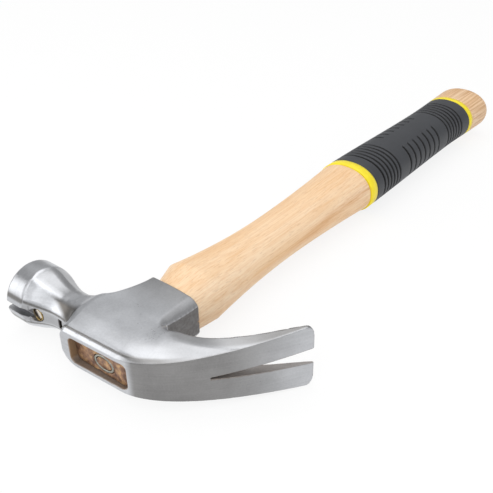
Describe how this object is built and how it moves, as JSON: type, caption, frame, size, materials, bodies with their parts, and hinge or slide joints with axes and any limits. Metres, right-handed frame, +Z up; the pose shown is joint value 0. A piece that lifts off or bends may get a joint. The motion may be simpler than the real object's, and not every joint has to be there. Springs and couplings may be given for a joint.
{
  "type": "curved claw hammer",
  "caption": "Curved claw hammer: forged steel head with a magnetic nail starter in its bell, wooden handle held in the eye by a ring wedge, and a grooved soft grip between yellow collars.",
  "frame": {"origin": "under the middle of the whole hammer, on the surface that it lies on: the bottom centre of its bounding box", "axes": "+X along the handle from the head to the butt, +Y from the claw to the striking face, +Z up through the upper cheek"},
  "size_m": [0.3322, 0.1272, 0.0306],
  "materials": {
    "forged_steel": "ground and satin polished, rougher on the socket's sides",
    "brass": "bright rim",
    "plated_magnet": "plated, slightly dull",
    "lacquered_wood": "clear satin lacquer over straight pale grain",
    "wedge_steel": "bright as drawn",
    "yellow_polymer": "smooth moulded",
    "black_rubber": "matte moulded, grooved"
  },
  "bodies": {
    "root": {"head": "forged_steel", "magnet_cup": "brass", "magnet": "plated_magnet", "handle": "lacquered_wood", "ring_wedge": "wedge_steel", "grip_liner": "yellow_polymer", "grip_sleeve": "black_rubber"}
  },
  "joints": []
}
